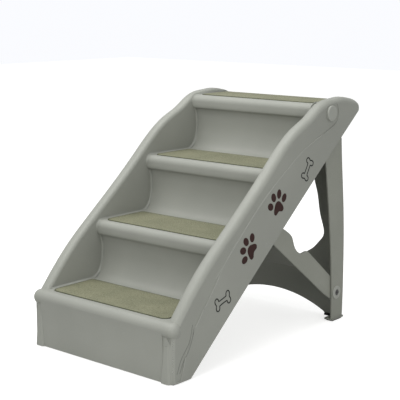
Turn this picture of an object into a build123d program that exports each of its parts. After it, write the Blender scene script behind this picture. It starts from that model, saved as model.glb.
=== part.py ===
from build123d import *
from math import atan2, cos, degrees, hypot, radians, sin, sqrt
import os

# Folding pet stairs: a flight of four steps between two hollow side rails, a folding rear leg frame
# and a brace that ties the leg to the rails. Millimetres, +Z up, +Y towards the top step.

# Width of the flight, its walls and the overrun of cuts
body_width = 392.0
wall = 3.5
overrun = 30.0

# Steps
step_count = 4
run = 158.3
rise = 125.7
first_tread = 120.0
top_step_depth = 148.1
crest_rise = 14.9
tip_reach = 9.2
nose_lead = 1.5
nose_radius = 14.0
roll_overhang = 4.5
roll_radius = 16.0
knob_reach = 3.0
knob_round = 14.0
back_bevel = 10.0
back_round = 10.0
back_inset = 11.0

# Side rails
rail_width = 27.5
rail_outer_fillet = 12.0
rail_inner_fillet = 9.0
front_bend_radius = 24.0
tip_bend_radius = 13.5
tip_bend_angle = 56.4
recess_depth = 1.2
recess_span = 52.0
pivot_disc_radius = 19.0
ring_radius = 29.0
ring_start_angle = 80.0
ring_end_angle = -62.0

# Feet
sole_gap = 2.0
foot_length = 51.0
shoe_width = 38.0
shoe_length = 48.0
shoe_thickness = 4.0
shoe_corner = 14.0
post_depth = 18.0
post_corner = 6.5
post_foot_width = 25.0
post_foot_inset = 6.0
post_foot_reach = 4.5
post_head_width = 17.0
post_head_inset = 9.0
post_head_reach = 1.0
post_height = 76.0
dent_depth = 2.0
pad_margin = 3.0
pad_corner = 4.0
pad_plug_radius = 4.0
pad_plug_height = 3.0
fit_gap = 0.3

# Tread mats
mat_side_gap = 7.5
mat_riser_gap = 4.7
mat_back_margin = 15.6
mat_thickness = 2.5
mat_recess = 1.0
mat_front_corner = 16.0
mat_back_corner = 7.0
mat_setback = 18.0

# Underside ribs
rib_thickness = 2.5
rib_lift = 6.0
rib_places_share = (0.0, 0.32)
bare_step_count = 3

# Leg frame
leg_wall = 3.5
leg_side_gap = 2.5
leg_head_radius = 20.0
leg_lip_width = 15.5
leg_foot_lap = 2.0
leg_foot_flare = 2.0
arch_height = 41.0
arch_half_width = 143.0
foot_plate_thickness = 4.0
rear_pad_height = 3.0
rear_toe_height = 5.0
rear_toe_depth = 9.0
rear_toe_reach = 25.0

# Brace
brace_wall = 3.5
brace_side_gap = 1.0
brace_depth = 46.0
brace_head_radius = 20.0
hook_offset = 1.5
hook_reach = 14.0
web_level_share = -0.304
web_lip = 8.0

# Pivots
pivot_radius = 8.0
running_gap = 0.08
thread_gap = 0.05
side_play = 0.1
cap_radius = 17.0
cap_height = 4.0
cap_edge = 2.0
socket_radius = 7.0
socket_depth = 2.0
screw_radius = 3.0
screw_head_radius = 6.7
screw_head_height = 1.6
screw_shaft = 8.0
hex_radius = 2.0
hex_depth = 1.8
washer_radius = 13.0
retainer_head_radius = 10.0
retainer_head_height = 4.0
bush_radius = 15.0
bush_head_height = 2.3
bush_edge = 1.0
nut_radius = 12.0
nut_height = 5.0
nut_side_count = 6
catch_radius = 5.0
catch_gap = 1.0
catch_length = 7.5

# Fold
fold_ratio = 1.0
slot_angle = 8.0
slot_step_count = 12

# Side outlines, as shares of the depth and the height of the flight
rail_top_shares = [(0.048, 0.2695), (0.0883, 0.3252), (0.1525, 0.4043), (0.2247, 0.4785), (0.4687, 0.7246),
                   (0.6421, 0.8873), (0.7063, 0.9232), (0.7528, 0.958), (0.8026, 0.982), (0.8507, 0.9887),
                   (0.8989, 0.9922), (0.947, 0.9852)]
recess_rail_shares = [(0.2247, 0.4785), (0.7063, 0.9232)]
front_bend_share = 0.1822
tip_bend_share = 0.9393
under_mid_share = (0.5377, 0.4717)
recess_line_shares = [(0.037, 0.012), (0.0642, 0.113), (0.0979, 0.1855), (0.1557, 0.273),
                      (0.2183, 0.367), (0.2665, 0.4375), (0.3547, 0.5332), (0.435, 0.6172),
                      (0.5586, 0.7168), (0.6453, 0.7812), (0.7335, 0.8262), (0.7801, 0.8477)]
dent_shares = [(0.862, 0.2148), (0.898, 0.2422), (0.995, 0.2422), (0.961, 0.1543)]
riser_shares = [(-0.14, 0.0), (0.05, 0.125), (0.115, 0.33), (0.12, 0.56), (0.065, 0.76)]

# Pivot, leg and brace places, as shares of the depth and the height of the flight
top_pivot_share = (0.8242, 0.9297)
low_pivot_share = (0.8989, 0.1289)
catch_share = (0.5058, 0.4926)
leg_front_shares = [(0.8716, 0.0098), (0.8587, 0.3262), (0.8427, 0.4902), (0.8138, 0.7168)]
leg_back_shares = [(0.9406, 0.0098), (0.9426, 0.2578), (0.9326, 0.5156), (0.915, 0.7188), (0.9085, 0.8125)]

# Leg window, as shares of the half width and of the height of the flight
window_shares = [(0.0, 0.2246), (0.255, 0.2383), (0.4898, 0.2832), (0.5561, 0.3008), (0.6327, 0.332),
                 (0.6939, 0.3613)]
window_side_shares = [(0.6633, 0.4473), (0.6276, 0.5488), (0.5867, 0.623), (0.5765, 0.6445)]
strip_head_share = (0.68, 0.692)
lip_start_share = 0.707

# Brace outline: along the brace as shares of its length, across it as shares of its depth
brace_top_shares = [(0.155, 0.457), (0.5, 0.53), (0.54, 0.4), (0.572, 0.2), (0.61, 0.13), (0.65, 0.15),
                    (0.7, 0.3), (0.745, 0.47), (0.79, 0.5), (0.845, 0.47), (0.93, 0.38)]
brace_low_shares = [(0.96, -0.1), (0.93, -0.4), (0.87, -0.5), (0.13, -0.5)]
web_start_share = 0.503
web_end_share = 0.812
hook_start_share = 0.75
hook_top_share = 0.39
hook_low_share = -0.304
hook_bend_share = 0.975
hook_tip_share = 0.26

diagonal_share = sqrt(0.5)

body_depth = (step_count - 1) * run + top_step_depth
body_height = first_tread + (step_count - 1) * rise + crest_rise
half_width = body_width / 2
rail_inner = half_width - rail_width
channel_inner = rail_inner + wall
channel_outer = half_width - wall
leg_outer = channel_outer - leg_side_gap
leg_inner = leg_outer - leg_wall
brace_outer = leg_inner - brace_side_gap
brace_inner = brace_outer - brace_wall
leg_foot_front = leg_front_shares[0][0] * body_depth
leg_foot_back = leg_back_shares[0][0] * body_depth + leg_foot_lap
hook_inner = channel_inner + hook_offset
hook_outer = hook_inner + brace_wall
roll_end = half_width + knob_reach
back_edge = body_depth - back_inset
tip_end = body_depth + tip_reach
centre_y = (tip_end - roll_overhang) / 2
sides = {"left": -1, "right": 1}


# A point of the side view from its two shares
def place(share):
    return (share[0] * body_depth, share[1] * body_height)


# A face drawn in the side view, Y across and Z up, pushed out between two X places
def side_slab(outline, x_from, x_to):
    return extrude(Plane.YZ.offset(x_from) * make_face(outline), x_to - x_from, dir=(1, 0, 0))


# A face drawn in the front view, X across and Z up, pushed through in Y
def front_slab(outline, y_from, y_to):
    plane = Plane(origin=(0, y_to, 0), x_dir=(1, 0, 0), z_dir=(0, -1, 0))
    return extrude(plane * make_face(outline), y_to - y_from, dir=(0, -1, 0))


# A slab lying flat, X and Y across, between two heights
def flat_slab(outline, z_from, z_to):
    return extrude(Plane.XY.offset(z_from) * make_face(outline), z_to - z_from, dir=(0, 0, 1))


# A round bar along X between two X places, centred on a point of the side view
def bar(centre, radius, x_from, x_to):
    plane = Plane(origin=(x_from, centre[0], centre[1]), x_dir=(0, 1, 0), z_dir=(1, 0, 0))
    return extrude(plane * Circle(radius), x_to - x_from, dir=(1, 0, 0))


# A closed outline of straight lines through the points
def closed(points):
    return Polyline(*points, points[0])


# Straight lines from each point to the next
def link(points):
    return [Line(a, b) for a, b in zip(points, points[1:])]


# The points moved to the right of their direction of travel
def shifted(points, distance):
    moved = []
    for index, point in enumerate(points):
        before = points[max(index - 1, 0)]
        after = points[min(index + 1, len(points) - 1)]
        along = (after[0] - before[0], after[1] - before[1])
        length = hypot(*along)
        moved.append((point[0] + distance * along[1] / length, point[1] - distance * along[0] / length))
    return moved


# A point of the side view turned about a centre
def turned(point, centre, angle):
    y, z = point[0] - centre[0], point[1] - centre[1]
    c, s = cos(radians(angle)), sin(radians(angle))
    return (centre[0] + c * y - s * z, centre[1] + s * y + c * z)


# Where a line from the point touches a circle, on the side asked for
def touch(point, centre, radius, side):
    y, z = point[0] - centre[0], point[1] - centre[1]
    reach = hypot(y, z)
    c = radius / reach
    s = side * sqrt(1 - c * c)
    return (centre[0] + radius * (c * y - s * z) / reach, centre[1] + radius * (s * y + c * z) / reach)


# A piece of the right side, or its copy for the left side
def on_side(shape, side):
    return shape if side > 0 else mirror(shape, about=Plane.YZ)


# Both halves of a piece that is the same left and right
def whole(half):
    return half + mirror(half, about=Plane.YZ)


# One STEP file per piece, with the origin under the middle of the flight
def save(name, shape):
    export_step(Pos(0, -centre_y, 0) * shape, "parts/" + name + ".step")


top_pivot = place(top_pivot_share)
low_pivot = place(low_pivot_share)
catch = place(catch_share)
under_front = (foot_length, sole_gap)
brace_length = hypot(catch[0] - low_pivot[0], catch[1] - low_pivot[1])
brace_along = ((catch[0] - low_pivot[0]) / brace_length, (catch[1] - low_pivot[1]) / brace_length)
brace_across = (brace_along[1], -brace_along[0])


# A direction of the side view from its parts along and across the brace
def brace_way(along, across):
    y = along * brace_along[0] + across * brace_across[0]
    z = along * brace_along[1] + across * brace_across[1]
    return (y, z)


# A point of the side view from its places along and across the brace
def on_brace(along, across):
    way = brace_way(along, across)
    return (low_pivot[0] + way[0], low_pivot[1] + way[1])


def tread_height(step):
    return first_tread + step * rise


def nose_front(step):
    return step * run + nose_lead if step else -roll_overhang


# The stepped line from the first nosing to the back of the top step, moved inwards by the inset
def stair_line(inset, back):
    parts = []
    for step in range(step_count):
        radius = nose_radius if step else roll_radius
        level = tread_height(step)
        front = nose_front(step)
        bend = radius * (1 - diagonal_share) + inset * diagonal_share
        start = (front + inset, level - radius)
        top = (front + radius, level - inset)
        parts.append(ThreePointArc(start, (front + bend, level - bend), top))
        if step < step_count - 1:
            lead = nose_front(step + 1)
            points = [(lead + share[0] * rise, level + share[1] * rise) for share in riser_shares]
            end = (lead + inset, level + rise - nose_radius)
            inner = shifted(points + [(lead, level + rise - nose_radius)], inset)[1:-1]
            foot = (points[0][0], level - inset)
            parts.append(Line(top, foot))
            parts.append(Spline(foot, *inner, end, tangents=[(1, 0), (0, 1)]))
        else:
            parts.append(Line(top, (back, level - inset)))
    return parts


# The turn of the bend at the front, after which the crest heads straight for its first point
def front_bend_angle(centre):
    first = place(rail_top_shares[0])
    leave = touch(first, centre, front_bend_radius, 1)
    return degrees(atan2(first[0] - leave[0], first[1] - leave[1]))


# The top line of a rail, from the front upright to the tip, moved inwards by the inset
def rail_top_line(inset):
    front = (front_bend_radius, front_bend_share * body_height)
    bend = front_bend_angle(front)
    tip = (tip_end - tip_bend_radius, tip_bend_share * body_height)
    low = [turned((inset, front[1]), front, -angle)
           for angle in (0, bend / 2, bend)]
    high = [turned((tip_end - inset, tip[1]), tip, angle)
            for angle in (tip_bend_angle, tip_bend_angle / 2, 0)]
    crest = [turned((0, front[1]), front, -bend)]
    crest += [place(share) for share in rail_top_shares]
    crest.append(turned((tip_end, tip[1]), tip, tip_bend_angle))
    middle = shifted(crest, inset)[1:-1]
    start_slope = (sin(radians(bend)), cos(radians(bend)))
    end_slope = (sin(radians(tip_bend_angle)), -cos(radians(tip_bend_angle)))
    parts = [ThreePointArc(*low)]
    parts.append(Spline(low[-1], *middle, high[0], tangents=[start_slope, end_slope]))
    parts.append(ThreePointArc(*high))
    return parts, low[0], high[-1]


# The full side outline of a rail
def rail_face():
    top, start, end = rail_top_line(0)
    parts = link([under_front, (0, sole_gap), start]) + top
    parts.append(ThreePointArc(end, place(under_mid_share), under_front))
    return parts


# The hollow of a rail, open below
def channel_face():
    top, start, end = rail_top_line(wall)
    parts = link([(foot_length, -overrun), (wall, -overrun), start]) + top
    parts += link([end, (end[0], end[1] - overrun), (foot_length, -overrun)])
    return parts


# The space above the steps and between the rails
def well_face():
    beyond = tip_end + overrun
    above = body_height + overrun
    level = tread_height(0) - roll_radius
    points = [(beyond, tread_height(step_count - 1)), (beyond, above), (-overrun, above),
              (-overrun, level), (nose_front(0), level)]
    return stair_line(0, beyond) + link(points)


# The space behind the top step and between the rails, with the round of the step's back edge
def behind_face():
    beyond = tip_end + overrun
    above = body_height + overrun
    level = tread_height(step_count - 1)
    turn = back_edge - back_round * (1 - diagonal_share)
    drop = level - back_round * (1 - diagonal_share)
    parts = [ThreePointArc((back_edge - back_round, level), (turn, drop), (back_edge, level - back_round))]
    parts += link([(back_edge, level - back_round), (back_edge, -overrun), (beyond, -overrun),
                   (beyond, above), (back_edge - back_round, above), (back_edge - back_round, level)])
    return parts


# The space under the steps, open below
def hollow_face():
    back = back_edge - wall
    roof = tread_height(step_count - 1) - wall
    first_top = (nose_front(0) + roll_radius, tread_height(0) - wall)
    shoulder = (wall, first_top[1] - (roll_radius - wall) * (1 - diagonal_share))
    parts = link([(wall, -overrun), shoulder, first_top])
    parts += stair_line(wall, back - back_bevel)[1:]
    parts += link([(back - back_bevel, roof), (back, roof - back_bevel),
                   (back, tip_bend_share * body_height - overrun), (foot_length, -overrun),
                   (wall, -overrun)])
    return parts


# The zone above a sloping line just over the inner corners of the steps, where the ribs stay
def rib_face():
    slope = rise / run
    corner = (nose_front(1), tread_height(0) - wall + rib_lift)
    low = (-overrun, corner[1] - slope * (corner[0] + overrun))
    high = (tip_end, corner[1] + slope * (tip_end - corner[0]))
    above = body_height + overrun
    return closed([low, high, (tip_end, above), (-overrun, above)])


# Edges of a solid that lie in the plane at an X place
def edges_at(shape, x_place):
    return [e for e in shape.edges()
            if abs(e.center().X - x_place) < running_gap and e.bounding_box().size.X < running_gap]


# The zone of the shallow recess on the outer side of a rail, deepest along its lower line
def recess():
    line = [place(share) for share in recess_line_shares]
    ring_rim = (top_pivot[0] + ring_radius, top_pivot[1])
    ring_low = turned(ring_rim, top_pivot, ring_end_angle)
    ring_mid = turned(ring_rim, top_pivot, (ring_start_angle + ring_end_angle) / 2)
    ring_high = turned(ring_rim, top_pivot, ring_start_angle)
    above = body_height + overrun
    parts = [Spline(*line, ring_low), ThreePointArc(ring_low, ring_mid, ring_high)]
    parts += link([ring_high, (ring_high[0], above), (-overrun, above), (-overrun, line[0][1]), line[0]])
    zone = side_slab(parts, half_width - recess_depth, half_width + overrun)
    rail_low, rail_high = [place(share) for share in recess_rail_shares]
    length = hypot(rail_high[0] - rail_low[0], rail_high[1] - rail_low[1])
    along = Vector(0, rail_high[0] - rail_low[0], rail_high[1] - rail_low[1]) / length
    down = Vector(0, along.Z, -along.Y)
    start = Vector(half_width, *rail_low) + down * rail_outer_fillet
    normal = along.cross(down * recess_span - Vector(recess_depth, 0, 0))
    normal = normal if normal.X > 0 else -normal
    reach = 2 * (body_depth + body_height)
    outside = extrude(Plane(origin=start, x_dir=along, z_dir=normal) * Rectangle(reach, reach), overrun)
    disc = bar(top_pivot, pivot_disc_radius, channel_outer, half_width + overrun)
    return (zone & outside) - disc


# A post that swells out of the front panel above each front foot
def post():
    sections = []
    for width, inset, reach, level in ((post_foot_width, post_foot_inset, post_foot_reach, sole_gap),
                                       (post_head_width, post_head_inset, post_head_reach, post_height)):
        centre = (half_width - inset - width / 2, post_depth / 2 - reach)
        sections.append(Pos(*centre, level) * RectangleRounded(width, post_depth, post_corner))
    return loft(sections, ruled=True)


# The roll along the front edge of the first step, with the round knob at its end
def roll():
    centre = (nose_front(0) + roll_radius, tread_height(0) - roll_radius)
    return fillet(edges_at(bar(centre, roll_radius, 0, roll_end), roll_end), knob_round)


# The outline of a mat, or of its pocket when grown, as a solid between two heights
def mat_slab(step, grow, z_from, z_to):
    front = step * run + mat_setback - grow
    back = (seam(step) - mat_riser_gap if step < step_count - 1 else back_edge - mat_back_margin) + grow
    side = rail_inner - mat_side_gap + grow
    slab = flat_slab(closed([(-side, front), (side, front), (side, back), (-side, back)]), z_from, z_to)
    uprights = slab.edges().filter_by(Axis.Z).sort_by(Axis.Y)
    slab = fillet(uprights[:2], mat_front_corner + grow)
    uprights = slab.edges().filter_by(Axis.Z).sort_by(Axis.Y)
    return fillet(uprights[-2:], mat_back_corner + grow)


# The Y place where the riser above a step begins, which is where one step's piece ends
def seam(step):
    return nose_front(step + 1) + riser_shares[0][0] * rise


# The part of a shape between two X places and two Y places
def between(shape, x_from, x_to, y_from, y_to):
    outline = closed([(x_from, y_from), (x_to, y_from), (x_to, y_to), (x_from, y_to)])
    return shape & flat_slab(outline, -overrun, body_height + overrun)


# The right half of the flight: one hollow rail, half of the four steps and one front foot
def half_flight():
    rail = side_slab(rail_face(), rail_inner, half_width)
    rims = [(half_width, rail_outer_fillet), (rail_inner, rail_inner_fillet)]
    for x_place, radius in rims:
        crest = [e for e in edges_at(rail, x_place) if e.geom_type == GeomType.BSPLINE]
        rail = fillet(crest, radius)
    block = make_face(rail_face()) - make_face(well_face()) - make_face(behind_face())
    half = extrude(Plane.YZ * block, rail_inner + rail_inner_fillet, dir=(1, 0, 0))
    half += rail
    dent = closed([(share[0] * half_width, share[1] * body_height) for share in dent_shares])
    half -= front_slab(dent, -overrun, dent_depth)
    half += post()
    half += roll()
    channel = side_slab(channel_face(), channel_inner, channel_outer)
    roof = [e for e in edges_at(channel, channel_outer) if e.geom_type == GeomType.BSPLINE]
    half -= fillet(roof, rail_outer_fillet - wall)
    hollow = side_slab(hollow_face(), -overrun, channel_outer)
    above = body_height + overrun
    gap_start, gap_end = seam(bare_step_count - 2), seam(bare_step_count - 1)
    bare = closed([(gap_start, -overrun), (gap_end, -overrun), (gap_end, above), (gap_start, above)])
    ribs = make_face(rib_face()) - make_face(bare)
    for share in rib_places_share:
        plane = Plane.YZ.offset(share * body_width - rib_thickness / 2)
        hollow -= extrude(plane * ribs, rib_thickness, dir=(1, 0, 0))
    half -= hollow
    shoe_start = half_width - shoe_width
    shoe = closed([(shoe_start, 0), (half_width, 0), (half_width, shoe_length), (shoe_start, shoe_length)])
    shoe = flat_slab(shoe, sole_gap, sole_gap + shoe_thickness)
    corner = shoe.edges().filter_by(Axis.Z).group_by(Axis.X)[-1].sort_by(Axis.Y)[0]
    half += fillet(corner, shoe_corner)
    half -= pad_plug(front_pad_place(), sole_gap, fit_gap)
    half += bar(catch, catch_radius, rail_inner + wall / 2, channel_inner + catch_length)
    half -= recess()
    half += between(roll(), channel_outer, roll_end, -overrun, body_depth)
    half -= bar(top_pivot, pivot_radius + running_gap, leg_outer, half_width + overrun)
    for step in range(step_count):
        level = tread_height(step)
        half -= mat_slab(step, fit_gap, level - mat_recess, level + overrun)
    return half


# The four steps between the rails, each from its riser to the next one, with the front panel on the first
def steps(half):
    flight = whole(between(half, 0, rail_inner, -overrun, tip_end))
    seams = [-overrun] + [seam(step) for step in range(step_count - 1)] + [tip_end]
    return [between(flight, -half_width, half_width, start, end) for start, end in zip(seams, seams[1:])]


def front_pad_place():
    return (half_width - shoe_width / 2, shoe_length / 2)


def rear_pad_place():
    return (leg_inner - leg_lip_width + rear_pad_width() / 2, (leg_foot_front + leg_foot_back) / 2)


def rear_pad_width():
    return leg_outer + leg_foot_flare - (leg_inner - leg_lip_width)


# The plug of a foot pad, or its hole when grown
def pad_plug(centre, z_from, grow):
    plane = Plane.XY.offset(z_from) * Pos(*centre)
    return extrude(plane * Circle(pad_plug_radius + grow), pad_plug_height + grow, dir=(0, 0, 1))


# A rubber foot pad with its plug
def foot_pad(centre, width, depth, height):
    slab = extrude(Pos(*centre) * RectangleRounded(width, depth, pad_corner), height, dir=(0, 0, 1))
    return slab + pad_plug(centre, height, 0)


# A rear foot pad, with a toe that reaches inwards under the web of the leg
def rear_foot_pad():
    depth = leg_foot_back - leg_foot_front - 2 * pad_margin
    pad = foot_pad(rear_pad_place(), rear_pad_width() - pad_margin, depth, rear_pad_height)
    lip = leg_inner - leg_lip_width
    for side, height in ((rear_pad_place()[0], rear_pad_height), (lip - fit_gap, rear_toe_height)):
        toe_front, toe_back = leg_foot_back - rear_toe_depth, leg_foot_back - fit_gap
        toe_end = lip - rear_toe_reach
        toe = closed([(toe_end, toe_front), (side, toe_front), (side, toe_back), (toe_end, toe_back)])
        pad += flat_slab(toe, 0, height)
    return pad


# The rear leg: two side flanges joined by a back web with a window and an arch
def leg_frame():
    front = [place(share) for share in leg_front_shares]
    back = [place(share) for share in leg_back_shares]
    front_touch = touch(front[-1], top_pivot, leg_head_radius, -1)
    back_touch = touch(back[-1], top_pivot, leg_head_radius, 1)
    parts = [Spline(*front)] + link([front[-1], front_touch, top_pivot, back_touch, back[-1]])
    parts += [Spline(*reversed(back))] + link([back[0], front[0]])
    half = side_slab(parts, leg_inner, leg_outer) + bar(top_pivot, leg_head_radius, leg_inner, leg_outer)
    inside = shifted(back, -leg_wall)
    strip = [Spline(*back)] + link([back[-1], inside[-1]]) + [Spline(*reversed(inside))]
    strip += link([inside[0], back[0]])
    web = side_slab(strip, 0, leg_outer)
    shares = window_shares + window_side_shares
    points = [(share[0] * half_width, share[1] * body_height) for share in shares]
    lip = leg_inner - leg_lip_width
    above = body_height + overrun
    head = (strip_head_share[0] * half_width, strip_head_share[1] * body_height)
    window = [Spline(*points)]
    window += link([points[-1], head, (lip, lip_start_share * body_height), (lip, above), (0, above),
                    points[0]])
    web -= front_slab(window, leg_foot_front - overrun, leg_foot_back + overrun)
    sole = rear_pad_height + foot_plate_thickness
    arch = [ThreePointArc((-arch_half_width, sole), (0, arch_height), (arch_half_width, sole))]
    arch += link([(arch_half_width, sole), (arch_half_width, -overrun), (-arch_half_width, -overrun),
                  (-arch_half_width, sole)])
    web -= front_slab(arch, leg_foot_front - overrun, leg_foot_back + overrun)
    half += web
    outer = leg_outer + leg_foot_flare
    plate = closed([(lip, leg_foot_front), (outer, leg_foot_front), (outer, leg_foot_back),
                    (lip, leg_foot_back)])
    half += flat_slab(plate, rear_pad_height, sole)
    half -= pad_plug(rear_pad_place(), rear_pad_height, fit_gap)
    for centre in (top_pivot, low_pivot):
        half -= bar(centre, pivot_radius + running_gap, leg_inner - overrun, leg_outer + overrun)
    return whole(half)


# The way the catch stud travels past the brace while the leg folds, as points of the side view
def stud_path():
    path = []
    for count in range(slot_step_count + 1):
        angle = slot_angle * count / slot_step_count
        pivot = turned(low_pivot, top_pivot, -angle)
        seen = (catch[0] - pivot[0] + low_pivot[0], catch[1] - pivot[1] + low_pivot[1])
        path.append(turned(seen, low_pivot, angle * (1 + fold_ratio)))
    return path


# The brace: two side plates joined by a cross web, with a hooked plate each side at its free end
def brace_panel():
    top = [(share[0] * brace_length, share[1] * brace_depth) for share in brace_top_shares]
    low = [(share[0] * brace_length, share[1] * brace_depth) for share in brace_low_shares]
    top_way = brace_way(top[1][0] - top[0][0], top[1][1] - top[0][1])
    end_way = brace_way(top[-1][0] - top[-2][0], top[-1][1] - top[-2][1])
    crest = [on_brace(*point) for point in top]
    under = [on_brace(*point) for point in low]
    parts = link([on_brace(0, brace_head_radius), crest[0], crest[1]])
    parts.append(Spline(*crest[1:], tangents=[top_way, end_way]))
    parts.append(Spline(crest[-1], *under[:-1], tangents=[end_way, brace_way(-1, 0)]))
    parts += link([under[-2], under[-1], on_brace(0, -brace_head_radius), on_brace(0, brace_head_radius)])
    half = side_slab(parts, brace_inner, brace_outer)
    half += bar(low_pivot, brace_head_radius, brace_inner, brace_outer)
    level = web_level_share * brace_depth
    start, end = web_start_share * brace_length, web_end_share * brace_length
    bottom, web_top, lip_top = level - brace_wall / 2, level + brace_wall / 2, level + web_lip
    tray = [(start, bottom), (end, bottom), (end, lip_top), (end - brace_wall, lip_top),
            (end - brace_wall, web_top), (start + brace_wall, web_top), (start + brace_wall, lip_top),
            (start, lip_top)]
    half += side_slab(closed([on_brace(*point) for point in tray]), 0, brace_outer)
    low_edge, top_edge = hook_low_share * brace_depth, hook_top_share * brace_depth
    tip = brace_length + hook_reach
    hook_start, hook_bend = hook_start_share * brace_length, hook_bend_share * brace_length
    plate = [(hook_start, low_edge), (tip, low_edge), (tip, hook_tip_share * brace_depth),
             (hook_bend, top_edge), (hook_start, top_edge)]
    hook = side_slab(closed([on_brace(*point) for point in plate]), hook_inner, hook_outer)
    radius = catch_radius + catch_gap
    path = stud_path()
    slot = closed(shifted(path, radius) + shifted(path, -radius)[::-1])
    hook -= side_slab(slot, hook_inner - overrun, hook_outer + overrun)
    hook -= bar(catch, radius, hook_inner - overrun, hook_outer + overrun)
    half += hook
    half -= bar(low_pivot, pivot_radius + running_gap, brace_inner - overrun, brace_outer + overrun)
    return whole(half)


# The cap outside a rail whose shank the leg turns on
def upper_pivot_cap():
    head = bar(top_pivot, cap_radius, half_width, half_width + cap_height)
    cap = fillet(edges_at(head, half_width + cap_height), cap_edge)
    start = leg_inner - fit_gap
    cap += bar(top_pivot, pivot_radius, start, half_width)
    return cap - bar(top_pivot, screw_radius + thread_gap, start, start + screw_shaft + fit_gap)


# The ring that keeps the leg off the wall of the rail
def upper_pivot_washer():
    ring = bar(top_pivot, washer_radius, leg_outer + side_play, channel_outer)
    return ring - bar(top_pivot, pivot_radius + running_gap, leg_outer, channel_outer)


# The hex socket in the face of a screw head
def hex_socket(centre, x_from, x_to):
    plane = Plane(origin=(x_from, centre[0], centre[1]), x_dir=(0, 1, 0), z_dir=(1, 0, 0))
    return extrude(plane * RegularPolygon(hex_radius, nut_side_count), x_to - x_from, dir=(1, 0, 0))


# The screw with a broad head that holds the leg on the cap's shank
def upper_pivot_screw():
    seat = leg_inner - fit_gap
    face = seat - retainer_head_height
    head = bar(top_pivot, retainer_head_radius, face, seat)
    screw = fillet(edges_at(head, face), bush_edge)
    screw += bar(top_pivot, screw_radius, seat, seat + screw_shaft)
    return screw - hex_socket(top_pivot, face, face + hex_depth)


# The flanged bush through the leg that the brace turns on
def lower_pivot_bush():
    face = leg_outer + bush_head_height
    head = bar(low_pivot, bush_radius, leg_outer, face)
    bush = fillet(edges_at(head, face), bush_edge)
    bush += bar(low_pivot, pivot_radius, brace_inner - fit_gap, leg_outer)
    bush -= bar(low_pivot, socket_radius, face - socket_depth, face)
    return bush - bar(low_pivot, screw_radius + thread_gap, brace_inner - overrun, face)


# The screw down the middle of the bush
def lower_pivot_screw():
    seat = leg_outer + bush_head_height - socket_depth
    face = seat + screw_head_height
    screw = bar(low_pivot, screw_head_radius, seat, face)
    screw += bar(low_pivot, screw_radius, brace_inner - fit_gap - nut_height - fit_gap, seat)
    return screw - hex_socket(low_pivot, face - hex_depth, face)


# The nut on the inner end of the bush
def lower_pivot_nut():
    end = brace_inner - fit_gap
    plane = Plane(origin=(end - nut_height, low_pivot[0], low_pivot[1]), x_dir=(0, 1, 0), z_dir=(1, 0, 0))
    nut = extrude(plane * RegularPolygon(nut_radius, nut_side_count), nut_height, dir=(1, 0, 0))
    return nut - bar(low_pivot, screw_radius + thread_gap, end - nut_height, end)


def main():
    os.makedirs("parts", exist_ok=True)
    half = half_flight()
    for step, shape in enumerate(steps(half)):
        save("step_" + str(step + 1), shape)
        base = tread_height(step) - mat_recess
        save("tread_mat_" + str(step + 1), mat_slab(step, 0, base, base + mat_thickness))
    save("leg_frame", leg_frame())
    save("brace_panel", brace_panel())
    right_pieces = {
        "side_rail": between(half, rail_inner, half_width + overrun, -overrun, tip_end + overrun),
        "upper_pivot_cap": upper_pivot_cap(),
        "upper_pivot_washer": upper_pivot_washer(),
        "upper_pivot_screw": upper_pivot_screw(),
        "lower_pivot_bush": lower_pivot_bush(),
        "lower_pivot_screw": lower_pivot_screw(),
        "lower_pivot_nut": lower_pivot_nut(),
        "front_foot_pad": foot_pad(front_pad_place(), shoe_width - 2 * pad_margin,
                                   shoe_length - 2 * pad_margin, sole_gap),
        "rear_foot_pad": rear_foot_pad(),
    }
    for name, shape in right_pieces.items():
        for side_name, side in sides.items():
            save(name + "_" + side_name, on_side(shape, side))


main()
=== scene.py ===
import math
import bmesh
import bpy
import numpy as np
from mathutils import Matrix, Vector


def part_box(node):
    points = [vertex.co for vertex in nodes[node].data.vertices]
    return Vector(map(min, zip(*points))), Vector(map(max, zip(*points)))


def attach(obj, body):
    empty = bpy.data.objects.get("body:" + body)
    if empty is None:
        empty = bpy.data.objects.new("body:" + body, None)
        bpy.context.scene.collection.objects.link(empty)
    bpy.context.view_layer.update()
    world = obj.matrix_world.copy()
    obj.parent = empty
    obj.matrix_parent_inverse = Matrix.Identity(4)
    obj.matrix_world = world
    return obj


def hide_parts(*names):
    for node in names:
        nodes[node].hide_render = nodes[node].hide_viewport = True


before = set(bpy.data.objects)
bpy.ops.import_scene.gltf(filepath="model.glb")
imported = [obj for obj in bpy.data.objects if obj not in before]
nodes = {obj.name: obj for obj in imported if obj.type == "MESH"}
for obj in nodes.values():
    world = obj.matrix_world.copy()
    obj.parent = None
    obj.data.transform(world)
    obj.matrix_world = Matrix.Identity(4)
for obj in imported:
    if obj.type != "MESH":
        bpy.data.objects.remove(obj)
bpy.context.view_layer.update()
scene = bpy.context.scene
midDepth = 0.31385  # the front panel's outer face is this far in front of the origin
stepCount = 4
print("frame loaded:", len(nodes), "pieces from the construction model")


# small helpers

def sidePoint(x, depth, height):
    # millimetres from the centre, the front panel and the floor, to metres in the frame
    return (x / 1000, depth / 1000 - midDepth, height / 1000)


def newObject(name, verts, faces, smooth=True):
    mesh = bpy.data.meshes.new(name)
    mesh.from_pydata([tuple(v) for v in verts], [], faces)
    mesh.update()
    obj = bpy.data.objects.new(name, mesh)
    scene.collection.objects.link(obj)
    for poly in mesh.polygons:
        poly.use_smooth = smooth
    return obj


def faceOutwards(obj):
    bm = bmesh.new()
    bm.from_mesh(obj.data)
    bmesh.ops.remove_doubles(bm, verts=bm.verts, dist=1e-6)
    bmesh.ops.recalc_face_normals(bm, faces=bm.faces)
    bm.to_mesh(obj.data)
    bm.free()


def dress(obj, *materials):
    obj.data.materials.clear()
    for material in materials:
        obj.data.materials.append(material)
    return obj


def placeOn(obj, body, slotName, *replaced):
    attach(obj, body)
    if replaced:
        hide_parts(*replaced)
    return obj


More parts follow.
